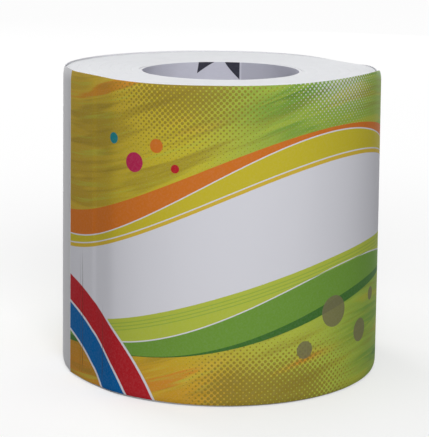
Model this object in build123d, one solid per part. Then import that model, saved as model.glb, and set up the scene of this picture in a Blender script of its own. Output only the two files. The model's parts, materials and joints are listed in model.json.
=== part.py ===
from build123d import *

# A wrapped toilet paper roll, standing on one end. The origin is at the centre of its base, and
# +Z runs up the core. The front is -Y. Sizes are in millimetres and angles in degrees,
# counted from +X.

import os
from math import cos, degrees, radians, sin

# The wound tissue: one long web, rolled up on the core. Its upper end is dished.
sheet_width = 97.6
tissue_diameter = 103.2
turn_count = 7
turn_groove_width = 0.6
turn_groove_depth = 0.3
end_dish = 0.8
corner_height = 2.5
corner_depth = 0.8

# The board core, glued inside the first turn
core_bore = 51.2
core_wall = 1.0
core_inset = 0.1
core_seam_angle = 76.0
core_seam_width = 0.4
core_seam_depth = 0.3

# The printed paper band, lapped over itself and glued
band_paper = 0.2
band_clearance = 0.1
band_lift = 0.5
band_lip = 0.4
band_lean = 0.4
lap_edge_angle = -155.5
lap_length = 20.0

tissue_radius = tissue_diameter / 2
bore_radius = core_bore / 2
core_radius = bore_radius + core_wall
turn_pitch = (tissue_radius - core_radius) / turn_count
turn_rise = end_dish / (turn_count - 0.5)
inner_height = sheet_width - end_dish
upper_corner = sheet_width - corner_height
band_inner_radius = tissue_radius + band_clearance
band_outer_radius = band_inner_radius + band_paper
band_top = sheet_width + band_lip


# Shared shapes


def drum(radius, low, high, low_tuck, high_tuck):
    """A straight-sided drum whose ends taper in by their tucks, past the tissue's corners."""
    outline = Polyline(
        (0, low),
        (radius - low_tuck, low),
        (radius, corner_height),
        (radius, upper_corner),
        (radius - high_tuck, high),
        (0, high),
        close=True,
    )
    return revolve(Plane.XZ * make_face(outline), Axis.Z)


def direction(angle):
    return Vector(cos(radians(angle)), sin(radians(angle)))


# The tissue


def turn_section(first_groove, first_height):
    """Half of the roll's section, with grooves in both ends between its turns. The lower edges
    are level, and each turn's upper edge stands one rise above that of the turn inside it."""
    outside = tissue_radius + 2 * turn_pitch
    upper_edge = [(0, first_height)]
    lower_edge = [(0, 0)]
    for turn in range(turn_count - 1):
        radius = first_groove + turn * turn_pitch
        inner_side = radius - turn_groove_width / 2
        outer_side = radius + turn_groove_width / 2
        height = first_height + turn * turn_rise
        upper_edge.append((inner_side, height))
        upper_edge.append((radius, height - turn_groove_depth))
        upper_edge.append((outer_side, height + turn_rise))
        lower_edge.append((inner_side, 0))
        lower_edge.append((radius, turn_groove_depth))
        lower_edge.append((outer_side, 0))
    upper_edge.append((outside, first_height + (turn_count - 1) * turn_rise))
    lower_edge.append((outside, 0))
    return Plane.XZ * make_face(Polyline(*upper_edge, *reversed(lower_edge), close=True))


def wound_turns():
    """The turns as a spiral of half circles, drawn from two centres half a pitch apart. The
    spiral climbs half a rise at each of them."""
    first_groove = core_radius + turn_pitch
    back_section = turn_section(first_groove, inner_height)
    front_section = turn_section(first_groove + turn_pitch / 2, inner_height + turn_rise / 2)
    back_half = revolve(back_section, Axis.Z, 180)
    front_half = revolve(front_section, Axis.Z, -180)
    return Pos(turn_pitch / 4, 0, 0) * back_half + Pos(-turn_pitch / 4, 0, 0) * front_half


def make_tissue_roll():
    outside = drum(tissue_radius, 0, sheet_width, corner_depth, corner_depth)
    bore = Pos(0, 0, sheet_width / 2) * Cylinder(core_radius, 2 * sheet_width)
    return (wound_turns() & outside) - bore


# The core


def make_core_tube():
    length = inner_height - 2 * core_inset
    middle = Pos(0, 0, inner_height / 2)
    tube = Cylinder(core_radius, length) - Cylinder(bore_radius, 2 * length)
    seam = Box(2 * core_seam_depth, core_seam_width, 2 * length)
    seam_place = Pos(bore_radius * direction(core_seam_angle)) * Rot(0, 0, core_seam_angle)
    return middle * (tube - seam_place * seam)


# The band


def band_drum(radius):
    """The band follows the tissue's lower corner, and its free upper edge leans inwards."""
    low_tuck = corner_depth * (corner_height - band_lift) / corner_height
    return drum(radius, band_lift, band_top, low_tuck, band_lean)


def make_paper_wrapper():
    """A ring of paper, with the glued end of the sheet rising over it towards its cut edge."""
    lap_turn = degrees(lap_length / band_outer_radius)
    lap_rise = band_paper / (1 - cos(radians(lap_turn)))
    lap_root = direction(lap_edge_angle + lap_turn)
    reach = 2 * tissue_diameter
    sector = Polyline(
        (0, 0),
        reach * direction(lap_edge_angle),
        reach * lap_root,
        close=True,
    )
    lap_column = extrude(make_face(sector), band_top)
    lap = Pos(-lap_rise * lap_root) * band_drum(band_outer_radius + lap_rise)
    return band_drum(band_outer_radius) + (lap & lap_column) - band_drum(band_inner_radius)


os.makedirs("parts", exist_ok=True)
export_step(make_core_tube(), "parts/core_tube.step")
export_step(make_tissue_roll(), "parts/tissue_roll.step")
export_step(make_paper_wrapper(), "parts/paper_wrapper.step")
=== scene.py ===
import json
from math import cos, pi, radians, sin, sqrt, tau

import bpy
import numpy as np
from mathutils import Matrix, Vector


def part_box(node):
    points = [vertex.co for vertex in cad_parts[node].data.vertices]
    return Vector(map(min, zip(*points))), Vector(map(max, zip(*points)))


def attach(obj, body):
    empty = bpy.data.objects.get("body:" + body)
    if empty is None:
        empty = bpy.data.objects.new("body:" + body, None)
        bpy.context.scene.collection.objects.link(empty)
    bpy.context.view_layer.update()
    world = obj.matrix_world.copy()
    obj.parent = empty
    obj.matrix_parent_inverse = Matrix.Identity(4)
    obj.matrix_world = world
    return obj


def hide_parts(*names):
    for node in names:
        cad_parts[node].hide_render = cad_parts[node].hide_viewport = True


# The looks of a wrapped toilet paper roll. Lengths are in metres, as in the frame, and the
# materials' own patterns are in millimetres.

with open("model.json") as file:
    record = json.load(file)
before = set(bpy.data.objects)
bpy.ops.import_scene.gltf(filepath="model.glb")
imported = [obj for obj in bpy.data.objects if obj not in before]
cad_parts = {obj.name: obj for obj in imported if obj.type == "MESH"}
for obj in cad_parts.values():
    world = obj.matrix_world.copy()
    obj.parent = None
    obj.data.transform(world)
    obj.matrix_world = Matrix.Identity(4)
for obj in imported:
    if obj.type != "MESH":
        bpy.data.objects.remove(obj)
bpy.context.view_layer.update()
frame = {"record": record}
mm = 0.001

# Sizes read from the frame
core_low, core_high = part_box("core_tube")
tissue_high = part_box("tissue_roll")[1]
band_low, band_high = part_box("paper_wrapper")
bore_radius = frame["record"]["mounts"][0]["dims"]["r_mm"] * mm
core_radius = core_high.x
tissue_radius = tissue_high.x
band_radius = band_high.x
sheet_width = tissue_high.z

# Sizes repeated from the part
turn_count = 7
end_dish = 0.8 * mm
corner_height = 2.5 * mm
corner_depth = 0.8 * mm
core_seam_angle = radians(76)
band_paper = 0.2 * mm
band_lean = 0.4 * mm

# Where the rounded corners start
end_edge = tissue_radius - corner_depth
upper_corner = sheet_width - corner_height

# Where the band's printed end is cut, as the photo shows it: 1.3 degrees to the left of where
# the part has it
lap_edge_angle = radians(-156.8)

# Where the glued lap has been pressed flat: its middle, its reach to either side, how softly the
# flat runs out into the round, and the height and share by which it gives out at the foot
press_angle = radians(-143)
press_reach = radians(12.5)
press_softness = 0.45 * mm
press_foot_height = 3.8 * mm
press_foot_loss = 0.65

# How far the roll's side stands out at its foot, and in at its top, from an upright one
flare_reach = 0.6 * mm

# How far out of round the hole's mouth is: the angle from +X, its reach, and how far the wall
# stands out
mouth_swells = (
    (radians(-6), radians(36), -0.7 * mm),
    (radians(-174), radians(36), 0.35 * mm),
)

# How many points there are all round the tissue and the core
round_steps = 288


# Meshes


def grid_faces(rows, columns, round_the_axis):
    """Quads over a grid of points, row by row. The last row runs on to the first. Round the axis,
    so does the last column, and the rows run up the inside of the piece and down its outside."""
    faces = []
    for row in range(rows):
        for column in range(columns if round_the_axis else columns - 1):
            here = row * columns
            there = (row + 1) % rows * columns
            side = (column + 1) % columns
            face = (here + column, here + side, there + side, there + column)
            faces.append(face[::-1] if round_the_axis else face)
    return faces


def ring_points(radii, heights, angles):
    """Points round the axis. Radii and heights hold a row for each ring and a column for each
    angle, or a single column where they are the same all round."""
    radii, heights, angles = np.broadcast_arrays(radii, heights, angles)
    x = radii * np.cos(angles)
    y = radii * np.sin(angles)
    return np.stack([x, y, heights], axis=-1).reshape(-1, 3)


def column_of(values):
    return np.asarray(values, float)[:, None]


def all_round():
    return np.arange(round_steps) * tau / round_steps


def angle_apart(angles, middle):
    return (angles - middle + pi) % tau - pi


def swell(angles, middle, reach):
    """A smooth hump, 1 at the middle angle and gone at about twice its reach."""
    return np.exp(-((angle_apart(angles, middle) / reach) ** 2))


def swells_at(angles, swells):
    """The sum of several swells, each given by its middle, its reach and its height."""
    return sum(height * swell(angles, middle, reach) for middle, reach, height in swells)


def pressed_in(angles, heights):
    """How far the roll's side lies inside a true round, along the pressed lap. The chord is
    followed no further than a radian from its middle, where it has long left the round."""
    apart = np.clip(angle_apart(angles, press_angle), -1, 1)
    chord_depth = tissue_radius * (1 - cos(press_reach) / np.cos(apart))
    depth = 0.5 * (chord_depth + np.sqrt(chord_depth**2 + press_softness**2))
    foot = np.clip(1 - heights / press_foot_height, 0, 1)
    return depth * (1 - press_foot_loss * foot**2)


def flared(heights):
    """How far the roll's side lies outside an upright one, at each height."""
    return flare_reach * (1 - 2 * heights / sheet_width)


def mouth_give(angles, heights):
    """How far the hole's wall lies outside a true round. It grows from nothing at the foot."""
    return swells_at(angles, mouth_swells) * heights / sheet_width


def corner_tuck(heights):
    """How far the tissue's side has drawn in, at heights within its lower corner."""
    below = 1 - np.clip(heights / corner_height, 0, 1)
    return corner_depth * (1 - np.sqrt(1 - below**2))


def new_piece(name, node, points, faces, materials, face_materials=None):
    """A smooth-shaded piece that stands for one node of the frame."""
    mesh = bpy.data.meshes.new(name)
    mesh.from_pydata(points.tolist(), [], faces)
    for material in materials:
        mesh.materials.append(material)
    if face_materials is not None:
        mesh.polygons.foreach_set("material_index", face_materials)
    mesh.shade_smooth()
    mesh.set_sharp_from_angle(angle=radians(35))
    mesh.update()
    piece = bpy.data.objects.new(name, mesh)
    bpy.context.scene.collection.objects.link(piece)
    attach(piece, "root")
    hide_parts(node)


# Material building


class Field:
    """A value or colour that varies over a surface. It takes plain arithmetic."""

    def __init__(self, shader, socket):
        self.shader = shader
        self.socket = socket

    def __add__(self, other):
        return self.shader.math("ADD", self, other)

    def __sub__(self, other):
        return self.shader.math("SUBTRACT", self, other)

    def __rsub__(self, other):
        return self.shader.math("SUBTRACT", other, self)

    def __mul__(self, other):
        return self.shader.math("MULTIPLY", self, other)

    def __truediv__(self, other):
        return self.shader.math("DIVIDE", self, other)

    def __neg__(self):
        return self * -1

    def __abs__(self):
        return self.shader.math("ABSOLUTE", self)

    __radd__ = __add__
    __rmul__ = __mul__

    def wave(self, length, start=0.0):
        """A sine wave of that wavelength, rising through zero at start."""
        return self.shader.math("SINE", (self - start) * (tau / length))

    def above(self, edge, soft):
        """1 over the edge and 0 under it, through a straight ramp of width soft."""
        return self.shader.math("ADD", (self - edge) / soft, 0.5, clamp=True)

    def below(self, edge, soft):
        return 1 - self.above(edge, soft)

    def ease(self, start, end):
        """From 0 at start to 1 at end, with no kink at either."""
        made = self.shader.node("ShaderNodeMapRange", interpolation_type="SMOOTHSTEP")
        self.shader.feed(made.inputs["Value"], self)
        made.inputs["From Min"].default_value = start
        made.inputs["From Max"].default_value = end
        return Field(self.shader, made.outputs["Result"])


class Shader:
    """One material, with a principled surface."""

    def __init__(self, name):
        self.material = bpy.data.materials.new(name)
        self.material.use_nodes = True
        self.tree = self.material.node_tree
        self.surface = self.tree.nodes["Principled BSDF"]

    def node(self, kind, **settings):
        made = self.tree.nodes.new(kind)
        for name, value in settings.items():
            setattr(made, name, value)
        return made

    def feed(self, socket, value):
        if isinstance(value, Field):
            self.tree.links.new(value.socket, socket)
        else:
            socket.default_value = value

    def math(self, operation, *values, clamp=False):
        made = self.node("ShaderNodeMath", operation=operation, use_clamp=clamp)
        for socket, value in zip(made.inputs, values):
            self.feed(socket, value)
        return Field(self, made.outputs[0])

    def root(self, value):
        return self.math("SQRT", value)

    def largest(self, first, second):
        return self.math("MAXIMUM", first, second)

    def mix(self, share, first, second):
        """A colour that goes from first to second as share goes from 0 to 1."""
        made = self.node("ShaderNodeMix", data_type="RGBA")
        factor, first_colour, second_colour = (made.inputs[i] for i in (0, 6, 7))
        self.feed(factor, share)
        self.feed(first_colour, first)
        self.feed(second_colour, second)
        return Field(self, made.outputs[2])

    def vector(self, x, y, z):
        made = self.node("ShaderNodeCombineXYZ")
        for socket, value in zip(made.inputs, (x, y, z)):
            self.feed(socket, value)
        return Field(self, made.outputs[0])

    def noise(self, place, scale=1.0, detail=2.0, roughness=0.5):
        made = self.node("ShaderNodeTexNoise")
        self.feed(made.inputs["Vector"], place)
        made.inputs["Scale"].default_value = scale
        made.inputs["Detail"].default_value = detail
        made.inputs["Roughness"].default_value = roughness
        return Field(self, made.outputs["Fac"])

    def place(self):
        """The point on the object, as x, y and z in millimetres."""
        coordinates = self.node("ShaderNodeTexCoord")
        parts = self.node("ShaderNodeSeparateXYZ")
        self.tree.links.new(coordinates.outputs["Object"], parts.inputs[0])
        return [Field(self, output) / mm for output in parts.outputs]

    def turn_from(self, x, y, start):
        """The angle anticlockwise from start, as seen from above, from 0 to a full turn."""
        along = x * cos(start) + y * sin(start)
        across = y * cos(start) - x * sin(start)
        return self.math("ARCTAN2", -across, -along) + pi

    def bump(self, height, depth, under=None):
        """A surface pushed in and out by height, which is worth depth in metres."""
        made = self.node("ShaderNodeBump")
        made.inputs["Strength"].default_value = 1.0
        made.inputs["Distance"].default_value = depth
        self.feed(made.inputs["Height"], height)
        if under is not None:
            self.feed(made.inputs["Normal"], under)
        return Field(self, made.outputs["Normal"])

    def finish(self, colour, roughness, normal, gloss):
        self.feed(self.surface.inputs["Base Color"], colour)
        self.feed(self.surface.inputs["Roughness"], roughness)
        self.feed(self.surface.inputs["Normal"], normal)
        self.surface.inputs["Specular IOR Level"].default_value = gloss
        return self.material


def ink(red, green, blue):
    """A colour given as it is seen, on a scale of 255."""

    def linear(level):
        level /= 255
        return level / 12.92 if level <= 0.04045 else ((level + 0.055) / 1.055) ** 2.4

    return (linear(red), linear(green), linear(blue), 1.0)


# The tissue

tissue_white = ink(236, 237, 239)
tissue_shade = ink(222, 223, 227)
ply_pitch = 0.34
turn_start = 0.25
turn_groove_width = 0.5 * mm
turn_groove_depth = 0.12 * mm
fine_turns_per_turn = 7
fine_turn_drop = 0.02 * mm
end_steps = 118
corner_steps = 7
side_steps = 4

# How far into the web the press of the lap and the give of the hole's mouth are felt
press_fade = 12 * mm
mouth_fade = 9 * mm

# Where the upper rim sags: the angle from +X, its reach, and the depth
rim_sags = (
    (radians(31), radians(19), 0.7 * mm),
    (radians(0), radians(9.5), 1.2 * mm),
)


def tissue_material():
    """Soft white web, with the edges of its many thin turns on both ends."""
    shader = Shader("tissue_web")
    x, y, z = shader.place()
    place = shader.vector(x, y, z)
    radius = shader.root(x * x + y * y)
    wander = shader.noise(place, scale=0.05, detail=1)
    ply = radius / ply_pitch + shader.turn_from(x, y, 0.0) / tau + wander * 4
    plies = shader.noise(shader.vector(ply, 0.0, 0.0), detail=2, roughness=0.7)
    clouds = shader.noise(place, scale=0.12, detail=3)
    fibres = shader.noise(place, scale=4.0, detail=4, roughness=0.7)
    colour = shader.mix(clouds * 0.35 + plies * 0.4, tissue_white, tissue_shade)
    normal = shader.bump(fibres * 0.35 + plies * 0.65, 0.06 * mm)
    return shader.finish(colour, 0.95, normal, gloss=0.2)


def turn_drops(radii, angles, random):
    """How far the turns' edges lie below the end face, at each radius and angle. The wide turns
    are parted by a spiral groove, and each holds a few fine ones, some higher than others."""
    pitch = (tissue_radius - core_radius) / turn_count
    turn = (column_of(radii) - core_radius) / pitch + angles / tau - turn_start
    fine_drops = random.normal(0.0, fine_turn_drop, (turn_count + 3) * fine_turns_per_turn)
    fine_turn = (turn + 1) * fine_turns_per_turn
    index = np.floor(fine_turn).astype(int)
    share = fine_turn - index
    share = share**3 * (10 - 15 * share + 6 * share**2)
    fine = fine_drops[index] * (1 - share) + fine_drops[index + 1] * share
    from_groove = np.abs(turn - np.round(turn)) * pitch
    groove = turn_groove_depth * np.exp(-((2 * from_groove / turn_groove_width) ** 2))
    return np.abs(fine) + groove


def upper_end_heights(radii, angles, random):
    """The upper end face: dished, a little uneven, and sagging in places at its rim."""
    inwards = column_of((end_edge - radii) / (end_edge - core_radius))
    uneven = 0.05 * mm * np.sin(3 * angles + 0.6) + 0.04 * mm * np.sin(5 * angles + 2.1)
    dish = inwards * (end_dish + uneven)
    sag = (1 - inwards) ** 3 * swells_at(angles, rim_sags)
    return sheet_width - turn_drops(radii, angles, random) - dish - sag


def soft_radii(radii, angles, heights):
    """Radii of the true roll, turned into those of the pressed, flared and uneven one."""
    pressed_share = np.clip((radii - end_edge) / press_fade + 1, 0, 1)
    mouth_share = np.clip(1 - (radii - core_radius) / mouth_fade, 0, 1) ** 2
    radii = radii + pressed_share * (flared(heights) - pressed_in(angles, heights))
    return radii + mouth_share * mouth_give(angles, heights)


def make_tissue():
    """The wound web. Its rows run over its upper end, down its side and back over its lower end."""
    random = np.random.default_rng(7)
    angles = all_round()
    end_radii = np.linspace(core_radius, end_edge, end_steps)
    corner = np.linspace(0, pi / 2, corner_steps + 1)[1:]
    corner_radii = end_edge + corner_depth * np.sin(corner)
    corner_drops = column_of(corner_height * (1 - np.cos(corner)))
    corner_sag = (1 - corner_drops / corner_height) * swells_at(angles, rim_sags)
    side_heights = column_of(np.linspace(upper_corner, corner_height, side_steps + 2)[1:-1])
    level = np.zeros(round_steps)
    rows = [
        (end_radii, upper_end_heights(end_radii, angles, random)),
        (corner_radii, sheet_width - corner_drops - corner_sag),
        (np.full(side_steps, tissue_radius), side_heights + level),
        (corner_radii[::-1], corner_drops[::-1] + level),
        (end_radii[::-1], turn_drops(end_radii, angles, random)[::-1]),
    ]
    radii = column_of(np.concatenate([row_radii for row_radii, row_heights in rows]))
    heights = np.concatenate([row_heights for row_radii, row_heights in rows])
    points = ring_points(soft_radii(radii, angles, heights), heights, angles)
    faces = grid_faces(len(radii), round_steps, round_the_axis=True)
    new_piece("tissue_web", "tissue_roll", points, faces, [tissue_material()])


# The core

board_light = ink(208, 208, 219)
board_dark = ink(188, 188, 201)
board_shadow = ink(160, 160, 172)
board_cut = ink(234, 234, 237)
seam_light = ink(238, 238, 244)
seam_dark = ink(120, 120, 135)
mark_ink = ink(34, 34, 48)
board_end_round = 0.12 * mm
board_seam_width = 0.4 * mm
board_seam_sink = 0.1 * mm
board_rows = 24


def printed_wedge(shader, aside, depth, near, far, longest, bow, lean=0.0):
    """A dark mark that hangs from the core's end. It is longest at far and runs out at near.
    Under a bow of 1 the edge between the two bulges out, and over 1 it is hollow."""
    aside = aside - depth * lean
    width = far - near
    share = shader.largest((aside - near) / width, 0.0)
    hang = longest * shader.math("POWER", share, bow)
    edge = 0.14
    inside = aside.above(near, edge) * aside.below(far, edge)
    if width < 0:
        inside = aside.below(near, edge) * aside.above(far, edge)
    return inside * (hang - depth).above(0.0, edge)


def core_material():
    """Pale board with fibres along its strip, a straight seam and two dark printed marks, with
    painted shade on the wall to the right of the seam. Its cut ends are paler."""
    shader = Shader("core_board")
    x, y, z = shader.place()
    place = shader.vector(x, y, z)
    radius = shader.root(x * x + y * y)
    depth = core_high.z / mm - z
    # How far round the wall lies from the seam. It grows to the left as the far wall is seen.
    aside = (shader.turn_from(x, y, core_seam_angle - pi) - pi) * (bore_radius / mm)
    strip_fibres = shader.vector(aside * 0.5, 0.0, z * 2.2)
    fibres = shader.noise(strip_fibres, detail=4, roughness=0.65)
    clouds = shader.noise(place, scale=0.1, detail=2)
    colour = shader.mix(fibres * 0.6 + clouds * 0.4, board_light, board_dark)
    # Painted shade: the wall to the right of the seam is darkened by half towards board_shadow, and
    # this fades out further round
    painted_shade_beyond_seam = aside.below(-0.2, 0.6) * aside.above(-22, 40)
    colour = shader.mix(painted_shade_beyond_seam * 0.5, colour, board_shadow)
    lip = abs(aside + 0.2).below(0.25, 0.3)
    colour = shader.mix(lip * 0.25, colour, seam_light)
    gap = abs(aside - 0.15).below(0.08, 0.12)
    colour = shader.mix(gap * 0.5, colour, seam_dark)
    right_mark = printed_wedge(shader, aside, depth, near=5.3, far=0.25, longest=5.9, bow=0.8)
    left_mark = printed_wedge(
        shader, aside, depth, near=8.6, far=14.3, longest=3.9, bow=1.15, lean=0.17
    )
    marks = shader.largest(right_mark, left_mark)
    colour = shader.mix(marks * (0.93 + fibres * 0.07), colour, mark_ink)
    cut_depth, cut_edge = 0.09, 0.05
    upper_cut = depth.below(cut_depth, cut_edge)
    lower_cut = z.below(core_low.z / mm + cut_depth, cut_edge)
    colour = shader.mix(shader.largest(upper_cut, lower_cut), colour, board_cut)
    normal = shader.bump(fibres, 0.04 * mm)
    return shader.finish(colour, 0.85, normal, gloss=0.25)


def make_core():
    """The board tube. Its cut ends are a little uneven, and a seam runs down its bore."""
    angles = all_round()
    from_seam = angle_apart(angles, core_seam_angle) * bore_radius
    seam = board_seam_sink * np.exp(-((2 * from_seam / board_seam_width) ** 2))
    uneven = np.abs(0.03 * mm * np.sin(7 * angles + 1.0) + 0.03 * mm * np.sin(11 * angles))
    low, high = core_low.z, core_high.z
    wall = np.linspace(low + board_end_round, high - board_end_round, board_rows)
    # Each row has its radius, its height, and how much of the seam and of the unevenness it has
    rows = [(bore_radius, height, 1, 0) for height in wall]
    rows += [(bore_radius + board_end_round, high, 0, -1)]
    rows += [(core_radius - board_end_round, high, 0, -1)]
    rows += [(core_radius, high - board_end_round, 0, 0)]
    rows += [(core_radius, low + board_end_round, 0, 0)]
    rows += [(core_radius - board_end_round, low, 0, 1)]
    rows += [(bore_radius + board_end_round, low, 0, 1)]
    radius, height, seam_share, uneven_share = (column_of(part) for part in zip(*rows))
    radius = radius + seam_share * seam + mouth_give(angles, height)
    points = ring_points(radius, height + uneven_share * uneven, angles)
    faces = grid_faces(len(rows), round_steps, round_the_axis=True)
    new_piece("board_core", "core_tube", points, faces, [core_material()])


# The band's print. The design is unrolled: across runs from the band's cut edge, rightwards
# round the roll, and up is the height.

inks = {
    "ochre": ink(180, 149, 48),
    "olive": ink(142, 122, 44),
    "sun": ink(203, 188, 50),
    "gold": ink(214, 182, 60),
    "lime": ink(182, 194, 72),
    "leaf": ink(146, 176, 70),
    "moss": ink(112, 154, 60),
    "forest": ink(66, 112, 48),
    "rust": ink(212, 118, 40),
    "pale": ink(224, 224, 231),
    "blue": ink(4, 98, 164),
    "red": ink(184, 34, 42),
    "crimson": ink(182, 42, 84),
    "teal": ink(34, 130, 138),
    "stone": ink(120, 115, 82),
}
print_edge = 0.14
bare_strip = 20.0
printed_length = tau * band_radius / mm - bare_strip
cut_edge_width = 0.5

# Fine upright creases in the pressed lap, with painted shade along them: each one's place across,
# lowest and highest points, and strength
creases = ((6.7, 3, 37, 0.5), (8.0, 4, 38, 1.0), (19.4, 3, 22, 0.9))
crease_painted_shade = ink(70, 58, 34)
bare_paper = ink(228, 228, 231)


class Print:
    """The design so far. Each step lays an ink over what is there."""

    def __init__(self, shader, across, up):
        self.shader = shader
        self.across = across
        self.up = up
        self.flow = 46 - 15 * across.wave(232, start=-58)
        self.colour = inks["ochre"]

    def lay(self, share, name):
        self.colour = self.shader.mix(share, self.colour, inks[name])

    def between(self, low, high):
        return self.up.above(low, print_edge) * self.up.below(high, print_edge)

    def reach_from(self, centre):
        right = self.across - centre[0]
        rise = self.up - centre[1]
        return self.shader.root(right * right + rise * rise)


def lay_ground(design, greens):
    """Ochre that turns to green on the right and back to ochre behind, with rust at the foot."""
    across, up = design.across, design.up
    behind = 1 - across.ease(212, 292)
    design.lay(across.ease(4, 50) * behind, "sun")
    design.lay(across.ease(44, 78) * behind, "lime")
    design.lay(greens * 0.9, "leaf")
    warmth = (1 - across.ease(50, 96)) * (1 - up.ease(2, 30))
    design.lay(warmth * 0.5, "rust")
    lift = (up - design.flow).ease(18, 58)
    design.lay(lift * (1 - across.ease(20, 64)) * 0.5, "gold")


def lay_brushing(design, greens, broad, fine):
    """Long strokes that follow the ribbons, in warm inks on the ochre and dark ones on the green.
    Broad and fine are noises that are drawn out along the ribbons."""
    warm = 1 - greens
    design.lay(broad.above(0.57, 0.05) * warm * 0.6, "gold")
    design.lay(broad.above(0.64, 0.04) * warm * warm * 0.6, "rust")
    design.lay(broad.below(0.42, 0.05) * warm * 0.4, "olive")
    design.lay(broad.above(0.55, 0.05) * greens * 0.7, "moss")
    design.lay(broad.above(0.64, 0.04) * greens * 0.55, "forest")
    design.lay(broad.below(0.42, 0.05) * greens * 0.4, "sun")
    design.lay(fine.above(0.58, 0.1) * 0.32, "olive")
    design.lay(fine.below(0.4, 0.1) * 0.45, "lime")


def lay_ribbons(design):
    """One broad pale sweep, edged with coloured ribbons that swell and thin out again."""
    across, flow = design.across, design.flow
    top = flow + 13.5 + 3.0 * across.wave(190, start=20)
    foot = flow - 12.5 - 2.5 * across.wave(170, start=60)
    rust_width = 5.0 + 3.4 * across.wave(168, start=-28)
    sun_width = 4.6 + 2.6 * across.wave(150, start=52)
    lime_width = 5.6 + 2.4 * across.wave(118, start=14)
    moss_width = 6.8 + 4.0 * across.wave(156, start=48)
    forest_width = 1.6 + 1.4 * across.wave(132, start=70)
    hair = 0.4
    step = top + 1.6
    design.lay(design.between(flow, step + sun_width + rust_width), "rust")
    design.lay(design.between(flow, step + sun_width + hair), "pale")
    design.lay(design.between(flow, step + sun_width), "sun")
    design.lay(design.between(flow, step), "pale")
    design.lay(design.between(flow, step - hair), "gold")
    step = foot - lime_width
    design.lay(design.between(step - moss_width - forest_width, flow), "forest")
    design.lay(design.between(step - moss_width, flow), "moss")
    design.lay(design.between(step - hair, flow), "pale")
    design.lay(design.between(step, flow), "lime")
    design.lay(design.between(foot, top), "pale")
    for gap in (1.5, 2.6, 3.7):
        line = abs(design.up - foot + gap).below(0.16, print_edge)
        design.lay(line * 0.8, "leaf")


def lay_dots(design, share, pitch, name):
    """Round dots on a slanted grid. Each one's radius is its share of the pitch."""
    slant = sqrt(0.5) / pitch
    far = 50.0
    first = design.shader.math("FRACT", (design.across + design.up) * slant) - 0.5
    second = design.shader.math("FRACT", (design.across - design.up) * slant + far) - 0.5
    reach = design.shader.root(first * first + second * second)
    design.lay((share - reach).above(0.0, print_edge / pitch) * 0.8, name)


def lay_dotted_fades(design):
    across, up = design.across, design.up
    upper = (up - 66).ease(0, 34) * across.ease(16, 46) * (1 - across.ease(50, 90))
    lay_dots(design, upper * 0.58, 1.25, "olive")
    bright = (up - 78).ease(0, 22) * across.ease(72, 98) * (1 - across.ease(104, 128))
    lay_dots(design, bright * 0.4, 1.1, "pale")
    lower = (1 - up.ease(4, 28)) * across.ease(44, 66) * (1 - across.ease(84, 118))
    lay_dots(design, lower * 0.58, 1.35, "olive")
    rear = (up - 58).ease(0, 40) * across.ease(170, 216) * (1 - across.ease(240, 286))
    lay_dots(design, rear * 0.6, 1.25, "moss")


def lay_corner_arcs(design):
    """Two arcs side by side, blue and red, parted and edged in white."""
    reach = design.reach_from((-16, -26))
    for name, inner, outer in (("pale", 44, 62.6), ("blue", 44.8, 52.9), ("red", 53.7, 61.8)):
        ring = reach.above(inner, print_edge) * reach.below(outer, print_edge)
        design.lay(ring, name)


def lay_spots(design):
    spots = (
        ("stone", (99, 27), 5.0),
        ("stone", (113, 18), 3.8),
        ("stone", (87.5, 16.5), 2.8),
        ("stone", (121.5, 28), 2.2),
        ("crimson", (33, 74), 3.0),
        ("rust", (40.5, 79.5), 2.1),
        ("teal", (25, 80.5), 1.7),
        ("red", (46.5, 73), 1.3),
        ("stone", (205, 78), 4.2),
        ("stone", (216, 84), 2.6),
        ("gold", (250, 22), 3.4),
        ("crimson", (259, 27), 2.0),
    )
    for name, centre, radius in spots:
        inside = (radius - design.reach_from(centre)).above(0.0, print_edge)
        design.lay(inside * (0.88 if name == "stone" else 1.0), name)


def crease_lines(across, up):
    """How deep the creases are at each point, from 0 to 1."""
    wander = up.wave(74) * 0.2
    lines = 0.0
    for place, low, high, strength in creases:
        line = abs(across - place - wander).below(0.18, 0.28)
        lines = line * up.above(low, 5) * up.below(high, 12) * strength + lines
    return lines


def band_material():
    """Satin print on white paper, with painted shade along the lap's creases. One end of the strip
    shows its cut, the other a plain margin.
    """
    shader = Shader("printed_band")
    x, y, z = shader.place()
    across = shader.turn_from(x, y, lap_edge_angle) * (band_radius / mm)
    design = Print(shader, across, z)
    level = z - design.flow
    broad = shader.noise(shader.vector(across * 0.016, 0.0, level * 0.14), detail=3)
    fine = shader.noise(shader.vector(across * 0.03, 5.0, level * 0.6), detail=4, roughness=0.62)
    greens = (across + level * 0.45).ease(66, 98) * (1 - across.ease(204, 260))
    lay_ground(design, greens)
    lay_brushing(design, greens, broad, fine)
    lay_dotted_fades(design)
    lay_ribbons(design)
    lay_corner_arcs(design)
    lay_spots(design)
    fibres = shader.noise(shader.vector(x, y, z), scale=1.6, detail=4, roughness=0.6)
    design.lay(fibres.ease(0.35, 0.75) * 0.035, "pale")
    bare = shader.largest(
        across.above(printed_length, print_edge), across.below(cut_edge_width, print_edge)
    )
    colour = shader.mix(bare, design.colour, bare_paper)
    folded = crease_lines(across, z)
    # Painted shade along the creases, darkening them by up to half
    colour = shader.mix(folded * 0.5, colour, crease_painted_shade)
    slow = shader.vector(across * 0.05, 0.0, z * 0.022)
    ripple = shader.noise(slow, detail=1)
    normal = shader.bump(ripple, 0.35 * mm)
    normal = shader.bump(fibres, 0.012 * mm, under=normal)
    normal = shader.bump(1 - folded, 0.14 * mm, under=normal)
    roughness = 0.5 + fibres * 0.1 + bare * 0.1
    return shader.finish(colour, roughness, normal, gloss=0.04)


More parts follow.
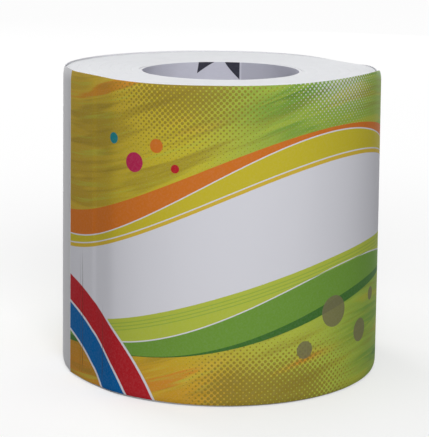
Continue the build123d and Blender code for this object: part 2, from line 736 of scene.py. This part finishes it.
def band_back_material():
    """The paper's bare side and its cut edges."""
    shader = Shader("band_paper_back")
    fibres = shader.noise(shader.vector(*shader.place()), scale=1.8, detail=4, roughness=0.6)
    colour = shader.mix(fibres, ink(236, 236, 239), ink(224, 224, 228))
    return shader.finish(colour, 0.8, shader.bump(fibres, 0.02 * mm), gloss=0.3)


# The band's sheet. Travelled is the way along the strip from its cut edge.

lap_hidden = 13.5 * mm
lap_ramp = 2.6 * mm
lap_glue = 0.03 * mm
curl_reach = 1.5 * mm
curl_rise = 0.16 * mm
loosening = 34 * mm
curl_columns = 12
other_columns = 412
foot_rows = 6
side_rows = 27
lip_rows = 7

# How far the band's edges stand up or sag: the angle from +X, its reach, and the rise
lip_swells = (
    (radians(-30), radians(29), 1.0 * mm),
    (radians(31), radians(20), -1.2 * mm),
    (radians(165), radians(25), 0.15 * mm),
    (radians(0), radians(9.5), -1.5 * mm),
    (radians(-163), radians(8), 0.6 * mm),
    (radians(-146), radians(16), 0.3 * mm),
    (radians(-112), radians(14), -0.2 * mm),
)
foot_swells = ((radians(-122), radians(28), 0.3 * mm),)


def strip_columns():
    """How far along the strip each column of points lies. They are closer in the curled edge."""
    curl_end = 2 * curl_reach
    strip_length = tau * band_radius + lap_hidden
    curl = np.linspace(0, curl_end, curl_columns, endpoint=False)
    return np.concatenate([curl, np.linspace(curl_end, strip_length, other_columns)])


def strip_rows():
    """The height of each row of points. They are closer in the bent foot and lip."""
    foot = np.linspace(band_low.z, corner_height, foot_rows, endpoint=False)
    side = np.linspace(corner_height, upper_corner, side_rows)
    lip = np.linspace(upper_corner, band_high.z, lip_rows + 1)[1:]
    return column_of(np.concatenate([foot, side, lip]))


def strip_lift(travelled):
    """How far the strip is lifted off the round, over its hidden end and by its edge's curl."""
    ramp = np.clip((travelled - lap_hidden) / lap_ramp, 0, 1)
    lap = (band_paper + lap_glue) * (1 - ramp**2 * (3 - 2 * ramp))
    return lap + curl_rise * np.clip(1 - travelled / curl_reach, 0, 1) ** 2


def strip_looseness(travelled):
    """How free the paper is to wave: 0 by the glued lap and 1 well away from it."""
    from_end = np.minimum(travelled, travelled[-1] - travelled)
    return np.clip((from_end - lap_hidden - lap_ramp) / loosening, 0, 1)


def band_wave(angles, heights):
    """How far the paper stands off the roll, where it is loose."""
    slow = np.sin(4 * angles + 45 * heights) * 0.05
    middling = np.sin(9 * angles - 30 * heights + 1.3) * 0.035
    quick = np.sin(17 * angles + 0.7) * 0.025
    return (slow + middling + quick + 0.11) * mm


def strip_surface(travelled, rows):
    """The angles, radii and heights of the points on the strip's printed side."""
    angles = lap_edge_angle + travelled / band_radius
    loose = strip_looseness(travelled)
    low, high = band_low.z, band_high.z
    below = np.clip((corner_height - rows) / (corner_height - low), 0, 1)
    above = np.clip((rows - upper_corner) / (high - upper_corner), 0, 1)
    ripple = 0.06 * mm * (np.sin(3 * angles + 2.0) - 1) * loose
    lip_rise = above * (ripple + swells_at(angles, lip_swells))
    foot_rise = below * swells_at(angles, foot_swells)
    heights = rows + lip_rise + foot_rise
    tuck = corner_tuck(heights) + band_lean * above**2
    held = np.sin(pi * (rows - low) / (high - low)) ** 0.5
    wave = band_wave(angles, rows) * held * loose
    radii = band_radius - tuck + strip_lift(travelled) + wave
    return angles, radii + flared(rows) - pressed_in(angles, heights), heights


def strip_ends(row_count, columns):
    """The faces that close the strip's two cut ends."""
    faces = []
    for column in (0, columns - 1):
        for row in range(row_count - 1):
            behind = 2 * row_count - 1 - row
            corners = (row, row + 1, behind - 1, behind)
            face = tuple(corner * columns + column for corner in corners)
            faces.append(face if column == 0 else face[::-1])
    return faces


def make_band():
    """One strip of paper round the tissue. Its printed end lies over its plain one. The rows of
    points run up its printed side and down its plain one."""
    travelled = strip_columns()
    rows = strip_rows()
    angles, outer, heights = strip_surface(travelled, rows)
    inner = outer - band_paper
    radii = np.concatenate([outer, inner[::-1]])
    points = ring_points(radii, np.concatenate([heights, heights[::-1]]), angles)
    faces = grid_faces(len(radii), len(travelled), round_the_axis=False)
    faces += strip_ends(len(rows), len(travelled))
    printed, plain = 0, 1
    printed_faces = (len(rows) - 1) * (len(travelled) - 1)
    face_materials = [printed if i < printed_faces else plain for i in range(len(faces))]
    materials = [band_material(), band_back_material()]
    new_piece(
        "printed_band", "paper_wrapper", points, faces, materials, face_materials
    )


# The studio

floor_half = 4.0
floor_white = 0.95

# What the floor throws back up at the roll, as a grey
floor_grey = 0.12

# The share of the floor's look that is its own white glow, near the roll and far from it
floor_glow_near = 0.5
floor_glow_far = 0.97
floor_near = 0.10
floor_far = 0.45

room_colour = (0.94, 0.96, 1.0, 1)
room_level = 0.06

# Each lamp's name, place, size and level
lamps = (
    ("key_lamp", (0.14, -1.30, 0.68), (0.7, 0.7), 0.76),
    ("top_lamp", (-0.05, -0.1, 1.3), (0.9, 0.9), 0.44),
    ("left_back_lamp", (-0.72, 0.98, 0.34), (0.6, 0.5), 0.62),
    ("right_back_lamp", (0.40, 1.16, 0.18), (0.6, 0.28), 0.34),
)


def link_object(name, data):
    made = bpy.data.objects.new(name, data)
    bpy.context.scene.collection.objects.link(made)
    return made


def seen_directly(tree):
    """1 where the ray comes from the camera or a reflection or through glass, otherwise 0."""
    path = tree.nodes.new("ShaderNodeLightPath")
    total = path.outputs["Is Camera Ray"]
    for name in ("Is Glossy Ray", "Is Transmission Ray"):
        either = tree.nodes.new("ShaderNodeMath")
        either.operation = "MAXIMUM"
        tree.links.new(total, either.inputs[0])
        tree.links.new(path.outputs[name], either.inputs[1])
        total = either.outputs[0]
    return total


def floor_glow_share(tree):
    """How much of the floor's look is its own glow. It grows away from the roll."""
    place = tree.nodes.new("ShaderNodeTexCoord")
    distance = tree.nodes.new("ShaderNodeVectorMath")
    distance.operation = "LENGTH"
    tree.links.new(place.outputs["Object"], distance.inputs[0])
    share = tree.nodes.new("ShaderNodeMapRange")
    share.interpolation_type = "SMOOTHSTEP"
    share.inputs["From Min"].default_value = floor_near
    share.inputs["From Max"].default_value = floor_far
    share.inputs["To Min"].default_value = floor_glow_near
    share.inputs["To Max"].default_value = floor_glow_far
    tree.links.new(distance.outputs["Value"], share.inputs["Value"])
    return share.outputs["Result"]


def make_floor():
    """A floor that looks white and still takes a soft shadow, and throws little light back up."""
    mesh = bpy.data.meshes.new("floor")
    corners = [(x * floor_half, y * floor_half, 0) for x, y in ((-1, -1), (1, -1), (1, 1), (-1, 1))]
    mesh.from_pydata(corners, [], [(0, 1, 2, 3)])
    material = bpy.data.materials.new("floor")
    material.use_nodes = True
    tree = material.node_tree
    tree.nodes.clear()
    output = tree.nodes.new("ShaderNodeOutputMaterial")
    shaded = tree.nodes.new("ShaderNodeBsdfDiffuse")
    shaded.inputs["Color"].default_value = (floor_white, floor_white, floor_white, 1)
    glow = tree.nodes.new("ShaderNodeEmission")
    glow.inputs["Color"].default_value = (1, 1, 1, 1)
    glow.inputs["Strength"].default_value = 1.0
    seen = tree.nodes.new("ShaderNodeMixShader")
    tree.links.new(floor_glow_share(tree), seen.inputs[0])
    tree.links.new(shaded.outputs[0], seen.inputs[1])
    tree.links.new(glow.outputs[0], seen.inputs[2])
    plain = tree.nodes.new("ShaderNodeBsdfDiffuse")
    plain.inputs["Color"].default_value = (floor_grey, floor_grey, floor_grey, 1)
    blend = tree.nodes.new("ShaderNodeMixShader")
    tree.links.new(seen_directly(tree), blend.inputs[0])
    tree.links.new(plain.outputs[0], blend.inputs[1])
    tree.links.new(seen.outputs[0], blend.inputs[2])
    tree.links.new(blend.outputs[0], output.inputs[0])
    mesh.materials.append(material)
    link_object("floor", mesh)


def make_room():
    world = bpy.data.worlds.new("studio")
    bpy.context.scene.world = world
    world.use_nodes = True
    tree = world.node_tree
    tree.nodes.clear()
    output = tree.nodes.new("ShaderNodeOutputWorld")
    room = tree.nodes.new("ShaderNodeBackground")
    room.inputs["Color"].default_value = room_colour
    room.inputs["Strength"].default_value = room_level
    backdrop = tree.nodes.new("ShaderNodeBackground")
    backdrop.inputs["Color"].default_value = (1, 1, 1, 1)
    backdrop.inputs["Strength"].default_value = 1.0
    blend = tree.nodes.new("ShaderNodeMixShader")
    tree.links.new(seen_directly(tree), blend.inputs[0])
    tree.links.new(room.outputs[0], blend.inputs[1])
    tree.links.new(backdrop.outputs[0], blend.inputs[2])
    tree.links.new(blend.outputs[0], output.inputs[0])


def make_lamp(name, place, size, level):
    """A soft lamp, aimed at the roll. Level 1 would show a facing white surface as white."""
    target = Vector((0, 0, 0.5 * sheet_width))
    aim = target - Vector(place)
    lamp = bpy.data.lights.new(name, "AREA")
    lamp.shape = "RECTANGLE"
    lamp.size, lamp.size_y = size
    lamp.energy = level * pi * pi * aim.length_squared
    holder = link_object(name, lamp)
    holder.visible_camera = False
    holder.location = place
    holder.rotation_euler = aim.to_track_quat("-Z", "Y").to_euler()


# The photo's view, found by fitting a camera to the roll's outline. Angles are in radians.
camera_aside = -0.0380 * band_radius
camera_distance = 9.149 * band_radius
camera_height = 2.8985 * band_radius
camera_pitch = 0.2136
camera_roll = 0.0115
camera_lens = 120.7


def make_camera():
    place = Vector((camera_aside, -camera_distance, camera_height))
    forward = Vector((0, cos(camera_pitch), -sin(camera_pitch)))
    right = Vector((1, 0, 0))
    up = right.cross(forward)
    tilted_right = right * cos(camera_roll) + up * sin(camera_roll)
    tilted_up = up * cos(camera_roll) - right * sin(camera_roll)
    data = bpy.data.cameras.new("camera")
    data.sensor_width = 36
    data.lens = camera_lens
    data.clip_start = 0.01
    data.clip_end = 50
    camera = link_object("camera", data)
    turn = Matrix((tilted_right, tilted_up, -forward)).transposed()
    camera.matrix_world = Matrix.Translation(place) @ turn.to_4x4()
    bpy.context.scene.camera = camera


make_tissue()
make_core()
make_band()
make_floor()
make_room()
for lamp in lamps:
    make_lamp(*lamp)
make_camera()
bpy.context.scene.view_settings.view_transform = "Standard"
